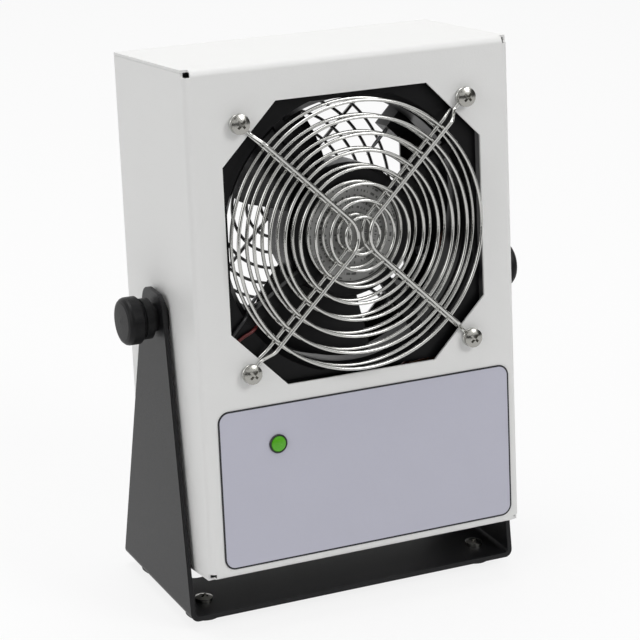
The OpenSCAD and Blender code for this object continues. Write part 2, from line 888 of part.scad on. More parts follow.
module switch_rocker() {
    rest = 7;
    long = 7.4;
    color([0.16, 0.16, 0.17]) in_case() translate([switch_x, rear_y + 0.8, switch_z]) rotate([rest, 0, 0])
        side_slab(1.5 - switch_w / 2, switch_w / 2 - 1.5) {
            polygon([[-1.5, -long], [3.4, -long], [2.3, 0], [3.4, long], [-1.5, long]]);
            circle(3.4);
        }
}

module balance_trimmer() {
    color([0.2, 0.3, 0.6]) in_case() translate([trim_x, 0, trim_z]) difference() {
        union() {
            translate([0, rear_y - rear_t - eps, 0]) to_front() cylinder(d = 12, h = 8);
            translate([0, rear_y - rear_t - 1, 0]) to_back() cylinder(d = trim_d, h = rear_t + 5);
        }
        translate([0, rear_y - 6, 0]) to_back() cylinder(d = 3.1, h = 12);
    }
}

module trimmer_nut() {
    color(chrome) in_case() translate([trim_x, rear_y + eps, trim_z]) to_back()
        hex_nut(9, trim_d + 0.1, 2);
}

module trimmer_screw() {
    color(brass) in_case() translate([trim_x, 0, trim_z]) difference() {
        translate([0, rear_y - 5.9, 0]) to_back() cylinder(d = 3, h = 10.2);
        translate([-2, rear_y + 3.3, -0.35]) cube([4, 2, 0.7]);
    }
}

// ---------- tilt clamp ----------

module at_sides() {
    for (m = [0, 1]) mirror([m, 0, 0]) translate([0, 0, axis_z]) rotate([0, 90, 0]) children();
}

module clinch_nuts() {
    x = half_w - case_t - eps - 4.5;
    color(grey) at_sides() translate([0, 0, x]) hex_nut(11, stud_d + 0.1, 4.5);
}

module tilt_washers() {
    color([0.15, 0.15, 0.15]) at_sides() translate([0, 0, half_w + eps])
        washer(16, stud_d + 0.6, arm_in - half_w - 2 * eps);
}

// plastic grip with a neck against the arm, turned about the tilt axis
module knob() {
    r = knob_d / 2;
    x0 = arm_in + stand_t + 2 * eps;
    color([0.05, 0.05, 0.055]) translate([0, 0, axis_z]) rotate([0, 90, 0]) translate([0, 0, x0])
        difference() {
            rotate_extrude() polygon([[0, 0], [6, 0], [6, 2.4], [r - 1.5, 2.4], [r - 1.5, 5.9],
                [r - 2, 6.1], [r - 2, 6.7], [r - 0.8, 7], [r, 7.9], [r, 12.2], [r - 0.3, 13.2],
                [r - 1.1, 14.1], [r - 2.4, 14.5], [0, 14.7]]);
            translate([0, 0, -1]) cylinder(d = stud_d + 0.06, h = 11);
        }
}

module stud() {
    x1 = arm_in + stand_t + 2 * eps + 9.5;
    x0 = half_w - 11;
    color(chrome) translate([0, 0, axis_z]) rotate([0, 90, 0]) translate([0, 0, x0])
        cylinder(d = stud_d, h = x1 - x0);
}

module knob_right() {
    knob();
}

module knob_stud_right() {
    stud();
}

module knob_left() {
    mirror([1, 0, 0]) knob();
}

module knob_stud_left() {
    mirror([1, 0, 0]) stud();
}
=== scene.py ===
"""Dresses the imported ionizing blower: finishes, fine pieces, studio and camera."""

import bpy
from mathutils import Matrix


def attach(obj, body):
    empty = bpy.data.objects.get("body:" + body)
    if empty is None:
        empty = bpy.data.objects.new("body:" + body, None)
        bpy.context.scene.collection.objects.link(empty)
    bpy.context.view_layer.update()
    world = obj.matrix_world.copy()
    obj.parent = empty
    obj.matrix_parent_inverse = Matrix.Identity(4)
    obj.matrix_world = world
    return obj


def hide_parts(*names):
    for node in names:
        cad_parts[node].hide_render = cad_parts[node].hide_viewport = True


bl_info = {
    "name": "Benchtop ionizing blower",
    "version": (1, 0, 0),
    "blender": (4, 5, 0),
    "location": "3D View > Sidebar > Blower",
    "description": "Finishes and fine pieces for a tilting benchtop air ionizer",
    "category": "Object",
}

import math

import bmesh
import bpy
from mathutils import Matrix, Vector

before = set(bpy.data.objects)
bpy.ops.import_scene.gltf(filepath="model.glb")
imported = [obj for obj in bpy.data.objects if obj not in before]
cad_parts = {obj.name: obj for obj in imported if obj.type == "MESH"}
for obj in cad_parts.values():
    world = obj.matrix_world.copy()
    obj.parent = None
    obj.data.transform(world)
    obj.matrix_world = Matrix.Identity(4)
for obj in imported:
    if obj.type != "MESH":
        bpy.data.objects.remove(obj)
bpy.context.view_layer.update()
MM = 0.001
LEAN = math.radians(7)


# ---------- shader expressions ----------


class Signal:
    """A socket that can be used in a Python expression; numbers only."""

    def __init__(self, finish, socket):
        self.finish = finish
        self.socket = socket

    def math(self, operation, *others):
        values = [self, *others]
        return self.finish.node(
            "ShaderNodeMath", {"operation": operation}, dict(enumerate(values))
        )[0]

    def __add__(self, other):
        return self.math("ADD", other)

    __radd__ = __add__

    def __mul__(self, other):
        return self.math("MULTIPLY", other)

    __rmul__ = __mul__

    def __sub__(self, other):
        return self.math("SUBTRACT", other)

    def __truediv__(self, other):
        return self.math("DIVIDE", other)

    def __gt__(self, other):
        return self.math("GREATER_THAN", other)

    def __lt__(self, other):
        return self.math("LESS_THAN", other)

    def clamp(self):
        return self.math("MAXIMUM", 0.0).math("MINIMUM", 1.0)

    def maximum(self, other):
        return self.math("MAXIMUM", other)

    def minimum(self, other):
        return self.math("MINIMUM", other)

    def absolute(self):
        return self.math("ABSOLUTE")

    def root(self):
        return self.math("SQRT")


class Outputs:
    """The outputs of one shader node, by name or number."""

    def __init__(self, finish, node):
        self.finish = finish
        self.raw = node

    def __getitem__(self, key):
        return Signal(self.finish, self.raw.outputs[key])


class Graph:
    """A node tree that is written as expressions."""

    def __init__(self, tree):
        self.tree = tree
        self.tree.nodes.clear()

    def node(self, kind, settings, inputs):
        made = self.tree.nodes.new(kind)
        for key, value in settings.items():
            setattr(made, key, value)
        for key, value in inputs.items():
            if isinstance(value, Signal):
                self.tree.links.new(value.socket, made.inputs[key])
            elif value is not None:
                made.inputs[key].default_value = value
        return Outputs(self, made)


class Finish(Graph):
    """One material, built from nodes on Object coordinates."""

    def __init__(self, name):
        self.material = bpy.data.materials.new(name)
        self.material.use_nodes = True
        super().__init__(self.material.node_tree)
        self.place = self.node("ShaderNodeTexCoord", {}, {})["Object"]

    def noise(self, scale, detail=2.0, rough=0.5, place=None):
        return self.node(
            "ShaderNodeTexNoise",
            {},
            {
                "Vector": place or self.place,
                "Scale": scale,
                "Detail": detail,
                "Roughness": rough,
            },
        )["Fac"]

    def axes(self, place=None):
        split = self.node("ShaderNodeSeparateXYZ", {}, {0: place or self.place})
        return split[0], split[1], split[2]

    def blend(self, share, first, second):
        mix = self.node("ShaderNodeMix", {"data_type": "RGBA"}, {0: share, 6: first, 7: second})
        return mix[2]

    def bump(self, height, distance, strength=1.0):
        return self.node(
            "ShaderNodeBump",
            {},
            {"Height": height, "Distance": distance, "Strength": strength},
        )["Normal"]

    def surface(self, **inputs):
        names = {key.replace("_", " "): value for key, value in inputs.items()}
        shader = self.node("ShaderNodeBsdfPrincipled", {}, names)
        self.node("ShaderNodeOutputMaterial", {}, {"Surface": shader[0]})
        return self.material


def rgba(colour, factor=1.0):
    return (*(min(1.0, c * factor) for c in colour[:3]), 1.0)


def powder_coat(name, colour, grain, height, rough, spread=0.05, gloss=0.5, painted_shade=None):
    """Baked powder paint: a fine orange peel with a faint change of tone.

    Where the shade mask gives 1 the sheet is painted near black, as painted shade for the unlit
    inside of the case.
    """
    f = Finish(name)
    peel = f.noise(grain, 2.0, 0.55)
    broad = f.noise(30.0, 2.0)
    fine = f.noise(grain * 2.6, 1.0)
    tone = ((peel - 0.5) * 0.35 + (broad - 0.5) * 0.7 + 0.5).clamp()
    paint = f.blend(tone, rgba(colour, 1 - spread), rgba(colour, 1 + spread))
    if painted_shade:
        # painted shade: a near-black colour on the inside faces stands in for the shade inside the
        # case
        paint = f.blend(painted_shade(f), paint, (0.035, 0.035, 0.036, 1.0))
    return f.surface(
        Base_Color=paint,
        Roughness=((peel - 0.5) * 0.18 + rough).clamp(),
        Specular_IOR_Level=gloss,
        Normal=f.bump(peel * 0.7 + fine * 0.3, height),
    )


def bright_metal(name, colour, rough, streak=900.0, height=2e-5, spread=0.08):
    """Plated or ground metal with faint drawing marks."""
    f = Finish(name)
    marks = f.noise(streak, 3.0, 0.6)
    cloud = f.noise(60.0, 2.0)
    tone = (marks * 0.4 + cloud * 0.6).clamp()
    return f.surface(
        Base_Color=f.blend(tone, rgba(colour, 1 - spread), rgba(colour, 1 + spread)),
        Metallic=1.0,
        Roughness=((marks - 0.5) * 0.12 + (cloud - 0.5) * 0.1 + rough).clamp(),
        Normal=f.bump(marks, height),
    )


def moulded(name, colour, rough, grain=1400.0, height=4e-5, spread=0.12, gloss=0.5):
    """Injection moulded plastic with a spark-eroded skin."""
    f = Finish(name)
    skin = f.noise(grain, 2.0, 0.6)
    cloud = f.noise(45.0, 2.0)
    tone = (skin * 0.4 + cloud * 0.6).clamp()
    return f.surface(
        Base_Color=f.blend(tone, rgba(colour, 1 - spread), rgba(colour, 1 + spread)),
        Roughness=((skin - 0.5) * 0.2 + (cloud - 0.5) * 0.12 + rough).clamp(),
        Specular_IOR_Level=gloss,
        Normal=f.bump(skin, height),
    )


def rubber(name, colour):
    f = Finish(name)
    skin = f.noise(700.0, 3.0, 0.6)
    dust = f.noise(160.0, 2.0)
    return f.surface(
        Base_Color=f.blend(dust, rgba(colour, 0.8), rgba(colour, 1.6)),
        Roughness=((dust - 0.5) * 0.2 + 0.8).clamp(),
        Normal=f.bump(skin, 1.2e-4),
    )


# ---------- geometry recipes ----------

SOCKETS = {
    float: "NodeSocketFloat",
    int: "NodeSocketInt",
    bpy.types.Object: "NodeSocketObject",
    bpy.types.Material: "NodeSocketMaterial",
}


class Recipe(Graph):
    """A Geometry Nodes tree with named inputs; its result is made a plain mesh."""

    def __init__(self, name, values):
        super().__init__(bpy.data.node_groups.new(name, "GeometryNodeTree"))
        self.name = name
        self.values = values
        face = self.tree.interface
        face.new_socket("Geometry", in_out="INPUT", socket_type="NodeSocketGeometry")
        face.new_socket("Geometry", in_out="OUTPUT", socket_type="NodeSocketGeometry")
        for key, value in values.items():
            face.new_socket(key, in_out="INPUT", socket_type=SOCKETS[type(value)])
        self.given = self.node("NodeGroupInput", {}, {})
        self.result = self.tree.nodes.new("NodeGroupOutput")

    def tube(self, curve, diameter, sides=14):
        """A round wire along a curve."""
        around = self.node(
            "GeometryNodeCurvePrimitiveCircle", {"mode": "RADIUS"},
            {"Resolution": sides, "Radius": diameter * 0.5},
        )
        plain = self.node("GeometryNodeSetCurveRadius", {}, {"Curve": curve, "Radius": 1.0})
        return self.node(
            "GeometryNodeCurveToMesh", {},
            {"Curve": plain[0], "Profile Curve": around[0], "Fill Caps": True},
        )[0]

    def join(self, *parts):
        made = self.tree.nodes.new("GeometryNodeJoinGeometry")
        for part in reversed(parts):
            self.tree.links.new(part.socket, made.inputs[0])
        return Signal(self, made.outputs[0])

    def grow(self, mesh, shape):
        """Ends the tree, runs it on a mesh and returns the plain result."""
        real = self.node("GeometryNodeRealizeInstances", {}, {"Geometry": shape})
        painted = self.node(
            "GeometryNodeSetMaterial", {},
            {"Geometry": real[0], "Material": self.given["Material"]},
        )
        self.tree.links.new(painted[0].socket, self.result.inputs[0])
        made = bpy.data.objects.new(self.name, mesh)
        bpy.context.scene.collection.objects.link(made)
        modifier = made.modifiers.new(self.name, "NODES")
        modifier.node_group = self.tree
        for item in self.tree.interface.items_tree:
            if item.in_out == "INPUT" and item.name in self.values:
                modifier[item.identifier] = self.values[item.name]
        graph = bpy.context.evaluated_depsgraph_get()
        real_mesh = bpy.data.meshes.new_from_object(made.evaluated_get(graph))
        made.modifiers.clear()
        made.data = real_mesh
        return made


def mesh_of(name, build):
    """A mesh filled by a function that is given a bmesh."""
    work = bmesh.new()
    build(work)
    mesh = bpy.data.meshes.new(name)
    work.to_mesh(mesh)
    work.free()
    return mesh


def path_mesh(name, *paths):
    """Wires drawn as edges only."""
    mesh = bpy.data.meshes.new(name)
    points = [p for path in paths for p in path]
    edges = []
    start = 0
    for path in paths:
        edges += [(start + i, start + i + 1) for i in range(len(path) - 1)]
        start += len(path)
    mesh.from_pydata(points, edges, [])
    return mesh


def place_piece(made, matrix, body, nodes=(), crease=40.0):
    """Puts the place into the mesh, shades it and hands it to the frame."""
    mesh = made.data
    mesh.transform(matrix)
    if matrix.determinant() < 0:
        mesh.flip_normals()
    mesh.polygons.foreach_set("use_smooth", [True] * len(mesh.polygons))
    mesh.set_sharp_from_angle(angle=math.radians(crease))
    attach(made, body)
    if nodes:
        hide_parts(*nodes)
    return made


def new_piece(name, mesh, material):
    made = bpy.data.objects.new(name, mesh)
    mesh.materials.clear()
    mesh.materials.append(material)
    bpy.context.scene.collection.objects.link(made)
    return made


def fillet(points, radius, steps=8):
    """A path with each inner corner rounded by a short arc-like curve."""
    path = [Vector(p) for p in points]
    out = [path[0]]
    for before, corner, after in zip(path, path[1:], path[2:]):
        back = min(radius, (before - corner).length * 0.45)
        on = min(radius, (after - corner).length * 0.45)
        a = corner + (before - corner).normalized() * back
        b = corner + (after - corner).normalized() * on
        for i in range(steps + 1):
            t = i / steps
            out.append(a * (1 - t) ** 2 + corner * 2 * t * (1 - t) + b * t * t)
    out.append(path[-1])
    return out


def lathe(work, profile, sides=64):
    """Turns a list of (radius, height) round Z; radius 0 closes it."""
    rings = []
    for radius, height in profile:
        if radius <= 0.0:
            rings.append([work.verts.new((0.0, 0.0, height))])
        else:
            rings.append([
                work.verts.new((
                    radius * math.cos(math.tau * i / sides),
                    radius * math.sin(math.tau * i / sides), height,
                )) for i in range(sides)
            ])
    for low, high in zip(rings, rings[1:]):
        for i in range(sides):
            j = (i + 1) % sides
            loop = [low[i % len(low)], low[j % len(low)], high[j % len(high)], high[i % len(high)]]
            corners = list(dict.fromkeys(loop))
            if len(corners) > 2:
                work.faces.new(corners)


# ---------- sizes ----------

# Millimetres, as in the part's source. The case stands upright in these.
CASE_W = 150.0
CASE_D = 74.5
CASE_H = 216.0
SHEET = 1.2
FAN_Z = 140.0
FAN_Y = 4.0
ROTOR_Y = FAN_Y + 5.5
REAR_Y = CASE_D - 0.2
TILT_Z = 130.5
SCREW = 52.4  # from the fan's axis to a fan screw, along one side
LAMP_X = -41.3
LAMP_Z = 55.4
LABEL_X = 1.2
LABEL_Z = 38.3
LABEL_W = 139.0
LABEL_H = 69.0
LABEL_CORNER = 5.0
LABEL_LINE = 0.75

RING_SIDES = 144
EYE_SIDES = 40
ARC_STEPS = 30

IN_CASE = (
    Matrix.Translation((0.0, 0.0, TILT_Z * MM))
    @ Matrix.Rotation(-LEAN, 4, "X")
    @ Matrix.Translation((0.0, -CASE_D / 2 * MM, -CASE_H / 2 * MM))
)
TO_FRONT = Matrix.Rotation(math.radians(90), 4, "X")
TO_BACK = Matrix.Rotation(math.radians(-90), 4, "X")


def at_fan(y=0.0):
    return IN_CASE @ Matrix.Translation((0.0, y * MM, FAN_Z * MM))


def in_mm(points):
    return [tuple(c * MM for c in p) for p in points]


def case_axes(f):
    """Width, depth and height in the leaning case, in millimetres."""
    shift = Matrix.Rotation(LEAN, 4, "X") @ Matrix.Translation((0, 0, -TILT_Z * MM))
    move = shift.translation + Vector((0, CASE_D / 2, CASE_H / 2)) * MM
    turned = f.node(
        "ShaderNodeMapping", {"vector_type": "POINT"},
        {"Vector": f.place, "Rotation": (LEAN, 0.0, 0.0), "Location": tuple(move)},
    )["Vector"]
    x, y, z = f.axes(turned)
    return x * 1000.0, y * 1000.0, z * 1000.0


def inside_case(f):
    """1 on the faces of the sheet that look into the case, where shade is painted."""
    x, y, z = case_axes(f)
    edge = SHEET - 0.2
    wide = x.absolute() < CASE_W / 2 - edge
    deep = (y > edge) * (y < REAR_Y - 0.7)
    high = (z > edge) * (z < CASE_H - edge)
    return wide * deep * high


class BlowerCase(bpy.types.PropertyGroup):
    """Paint of the case and the stand."""

    paint: bpy.props.FloatVectorProperty(
        name="Case paint", description="Colour of the baked powder paint", subtype="COLOR",
        size=3, default=(0.82, 0.82, 0.81), min=0.0, max=1.0,
    )
    stand: bpy.props.FloatVectorProperty(
        name="Stand paint", description="Colour of the yoke stand", subtype="COLOR",
        size=3, default=(0.008, 0.008, 0.009), min=0.0, max=1.0,
    )


class BlowerGuard(bpy.types.PropertyGroup):
    """Sizes of a wire finger guard."""

    count: bpy.props.IntProperty(
        name="Rings", description="Number of rings", default=8, min=3, max=12,
    )
    outer: bpy.props.FloatProperty(
        name="Largest ring", description="Radius of the largest ring", unit="LENGTH",
        default=56.9 * MM, min=40 * MM, max=60 * MM,
    )
    pitch: bpy.props.FloatProperty(
        name="Pitch", description="Distance between neighbouring rings", unit="LENGTH",
        default=7 * MM, min=4 * MM, max=10 * MM,
    )
    wire: bpy.props.FloatProperty(
        name="Ring wire", description="Diameter of the ring wire", unit="LENGTH",
        default=1.5 * MM, min=MM, max=2.5 * MM,
    )
    spoke: bpy.props.FloatProperty(
        name="Spoke wire", description="Diameter of the spoke wire", unit="LENGTH",
        default=1.7 * MM, min=MM, max=3 * MM,
    )


class BlowerFan(bpy.types.PropertyGroup):
    """Shape of the turning part of the fan."""

    blades: bpy.props.IntProperty(
        name="Blades", description="Number of blades", default=3, min=3, max=9,
    )
    turn: bpy.props.FloatProperty(
        name="Turn", description="How far a blade turns from front to back", subtype="ANGLE",
        unit="ROTATION", default=math.radians(-57), min=-1.6, max=1.6,
    )
    sweep: bpy.props.FloatProperty(
        name="Sweep", description="How far a blade leans from hub to tip", subtype="ANGLE",
        unit="ROTATION", default=math.radians(4), min=-1.0, max=1.0,
    )


class BlowerStage(bpy.types.PropertyGroup):
    """Camera, lamps and floor."""

    camera_place: bpy.props.FloatVectorProperty(
        name="Camera place", description="Where the camera stands", subtype="XYZ", unit="LENGTH",
        size=3, default=(-0.4624, -0.9220, 0.4954),
    )
    ahead: bpy.props.FloatVectorProperty(
        name="Ahead", description="Direction the camera looks in", subtype="DIRECTION",
        size=3, default=(0.4148, 0.8406, -0.3484),
    )
    across: bpy.props.FloatVectorProperty(
        name="Across", description="Direction of the right hand side of the view",
        subtype="DIRECTION", size=3, default=(0.8983, -0.4392, 0.0098),
    )
    lens: bpy.props.FloatProperty(
        name="Lens", description="Focal length on a 36 mm sensor", unit="CAMERA",
        default=141.55, min=20.0, max=400.0,
    )


# ---------- common steps ----------


def settings(context, name):
    return getattr(context.scene, name)


def paint_nodes(material, *nodes):
    """Gives CAD nodes one finish."""
    for node in nodes:
        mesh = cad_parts[node].data
        mesh.materials.clear()
        mesh.materials.append(material)


class BLOWER_OT_paint(bpy.types.Operator):
    """Paints the sheet metal"""

    bl_idname = "blower.paint"
    bl_label = "Painted sheet"

    def execute(self, context):
        case = settings(context, "blower_case")
        # the case sheet's inside faces are painted near black as painted shade
        white = powder_coat("case_white", case.paint, 1500.0, 6e-5, 0.42, 0.015, painted_shade=inside_case)
        paint_nodes(white, "front_shell", "back_panel")
        black = powder_coat("stand_black", case.stand, 1700.0, 5e-5, 0.40, 0.25, 0.30)
        paint_nodes(black, "stand_bracket")
        return {"FINISHED"}


class BLOWER_OT_metal(bpy.types.Operator):
    """Finishes the guards, screws and other bare metal"""

    bl_idname = "blower.metal"
    bl_label = "Bare metal"

    def execute(self, context):
        nickel = bright_metal("screw_nickel", (0.37, 0.365, 0.34), 0.2, 1500.0)
        paint_nodes(nickel, "guard_screws", "rear_guard_screws", "panel_screws", "foot_screws",
                    "inlet_screws", "trimmer_nut", "terminals", "motor_bearings", "fan_shaft")
        zinc = bright_metal("zinc_plate", (0.6, 0.6, 0.62), 0.38, 600.0)
        paint_nodes(zinc, "guard_nuts", "fan_washers", "rear_guard_nuts", "panel_nuts", "foot_nuts",
                    "clinch_nuts", "knob_stud_left", "knob_stud_right", "motor_stator")
        brass = bright_metal("plain_brass", (0.72, 0.55, 0.25), 0.3, 700.0)
        paint_nodes(brass, "board_posts", "trimmer_screw")
        copper = bright_metal("coil_copper", (0.7, 0.32, 0.12), 0.35, 1200.0, 8e-5)
        paint_nodes(copper, "motor_coils")
        tungsten = bright_metal("needle_tungsten", (0.45, 0.45, 0.47), 0.3, 1800.0)
        paint_nodes(tungsten, "emitter_needles")
        return {"FINISHED"}


class BLOWER_OT_plastic(bpy.types.Operator):
    """Finishes the plastic, rubber and wire"""

    bl_idname = "blower.plastic"
    bl_label = "Plastic and rubber"

    def execute(self, context):
        fan = moulded("fan_black", (0.004, 0.004, 0.0045), 0.36, gloss=0.18)
        paint_nodes(fan, "fan_frame")
        knob = moulded("knob_black", (0.005, 0.005, 0.0055), 0.42, gloss=0.18)
        paint_nodes(knob, "knob_left", "knob_right", "tilt_washers")
        gloss = moulded("fitting_black", (0.014, 0.014, 0.015), 0.28)
        paint_nodes(gloss, "power_inlet", "fuse_drawer", "switch_body", "switch_rocker",
                    "high_voltage_block")
        paint_nodes(rubber("foot_rubber", (0.02, 0.02, 0.02)), "rubber_feet")
        paint_nodes(moulded("holder_black", (0.01, 0.01, 0.011), 0.4), "emitter_holders")
        paint_nodes(moulded("board_green", (0.02, 0.15, 0.05), 0.3), "circuit_board")
        paint_nodes(moulded("part_grey", (0.12, 0.12, 0.13), 0.45), "board_parts")
        paint_nodes(moulded("trimmer_blue", (0.03, 0.08, 0.35), 0.4), "balance_trimmer")
        return {"FINISHED"}


class BLOWER_OT_guards(bpy.types.Operator):
    """Grows the wire guards: rings, bowed spokes and screw eyes"""

    bl_idname = "blower.guards"
    bl_label = "Wire guards"

    # Heights over the sheet, in millimetres.
    RINGS_AT = 4.85
    EYES_AT = 0.95
    INNER_RINGS_AT = -2.55
    INNER_EYES_AT = -2.45
    WELD = 0.15
    EYE_RADIUS = 3.3
    EYE_WIRE = 1.8

    def execute(self, context):
        sizes = settings(context, "blower_guard")
        chrome = bright_metal("guard_chrome", (0.54, 0.54, 0.52), 0.1)
        # painted shade: the rear guard gets a darker copy of the chrome, standing in for the shade
        # it sits in behind the fan
        shade_darkened_chrome = bright_metal("guard_dull", (0.26, 0.26, 0.255), 0.24)
        front = at_fan() @ TO_FRONT
        back = at_fan(REAR_Y) @ TO_BACK
        behind = (sizes.wire + sizes.spoke) / 2 / MM - self.WELD
        out = self.RINGS_AT + behind
        self.guard(sizes, chrome, "front_guard", front, self.RINGS_AT, out, self.EYES_AT)
        inner = self.INNER_RINGS_AT
        self.guard(sizes, chrome, "inner_guard", front, inner, inner + behind, self.INNER_EYES_AT)
        # the rear guard takes the darker chrome copy as painted shade
        self.guard(sizes, shade_darkened_chrome, "rear_guard", back, self.RINGS_AT, out, self.EYES_AT)
        return {"FINISHED"}

    def guard(self, sizes, chrome, node, place, rings_at, spoke_at, eye_at):
        recipe = Recipe(node + "_wires", {
            "Ring Count": sizes.count,
            "Largest Radius": sizes.outer,
            "Ring Pitch": sizes.pitch,
            "Ring Wire": sizes.wire,
            "Spoke Wire": sizes.spoke,
            "Ring Height": rings_at * MM,
            "Eye Height": eye_at * MM,
            "Eye Radius": self.EYE_RADIUS * MM,
            "Eye Wire": self.EYE_WIRE * MM,
            "Screw Spacing": 2 * SCREW * MM,
            "Material": chrome,
        })
        given = recipe.given
        index = recipe.node("GeometryNodeInputIndex", {}, {})[0]
        radius = given["Largest Radius"] - given["Ring Pitch"] * index
        lift = recipe.node("ShaderNodeCombineXYZ", {}, {2: given["Ring Height"]})[0]
        centres = recipe.node(
            "GeometryNodeMeshLine", {"mode": "OFFSET"},
            {"Count": given["Ring Count"], "Start Location": lift, "Offset": (0.0, 0.0, 0.0)},
        )[0]
        rings = self.circles(recipe, centres, radius, RING_SIDES)
        grid = recipe.node("GeometryNodeMeshGrid", {}, {
            "Size X": given["Screw Spacing"], "Size Y": given["Screw Spacing"],
            "Vertices X": 2, "Vertices Y": 2,
        })[0]
        drop = recipe.node("ShaderNodeCombineXYZ", {}, {2: given["Eye Height"]})[0]
        corners = recipe.node(
            "GeometryNodeTransform", {}, {"Geometry": grid, "Translation": drop},
        )[0]
        eyes = self.circles(recipe, corners, given["Eye Radius"], EYE_SIDES)
        spokes = recipe.node("GeometryNodeMeshToCurve", {}, {"Mesh": given["Geometry"]})[0]
        shape = recipe.join(
            recipe.tube(rings, given["Ring Wire"]),
            recipe.tube(eyes, given["Eye Wire"]),
            recipe.tube(spokes, given["Spoke Wire"]),
        )
        paths = [spoke_path(side, spoke_at, eye_at) for side in (1, -1)]
        wires = recipe.grow(path_mesh(node + "_paths", *paths), shape)
        place_piece(wires, place, "housing", [node], 60.0)

    def circles(self, recipe, points, radius, resolution):
        one = recipe.node(
            "GeometryNodeCurvePrimitiveCircle", {"mode": "RADIUS"},
            {"Resolution": resolution, "Radius": 1.0},
        )[0]
        size = recipe.node("ShaderNodeCombineXYZ", {}, {0: radius, 1: radius, 2: 1.0})[0]
        many = recipe.node(
            "GeometryNodeInstanceOnPoints", {}, {"Points": points, "Instance": one, "Scale": size},
        )[0]
        return recipe.node("GeometryNodeRealizeInstances", {}, {"Geometry": many})[0]


def spoke_path(side, spoke_at, eye_at, apex=2.8, bow=11.0):
    """One bowed spoke from screw eye to screw eye, in metres.

    apex is half the gap between the two spokes, bow the radius of the bend.
    """
    centre = apex + bow
    eye = Vector((SCREW, SCREW))
    lean = Vector((SCREW - centre, SCREW))
    turn = math.atan2(lean.y, lean.x) + math.acos(bow / lean.length)
    start = Vector((centre + bow * math.cos(turn), bow * math.sin(turn)))
    run = (eye - start).normalized()
    half = [
        (*(eye - run * 3.3), eye_at), (*(eye - run * 7.4), eye_at),
        (*(eye - run * 12.5), spoke_at), (*(start + run * 4), spoke_at),
    ]
    half = [tuple(p) for p in fillet(half, 1.6, 6)]
    open_turn = math.tau - 2 * turn
    arc = [
        (centre + bow * math.cos(a), bow * math.sin(a), spoke_at)
        for a in (turn + open_turn * i / ARC_STEPS for i in range(ARC_STEPS + 1))
    ]
    mirrored = [(x, -y, z) for x, y, z in reversed(half)]
    return in_mm([(side * x, y, z) for x, y, z in half + arc + mirrored])


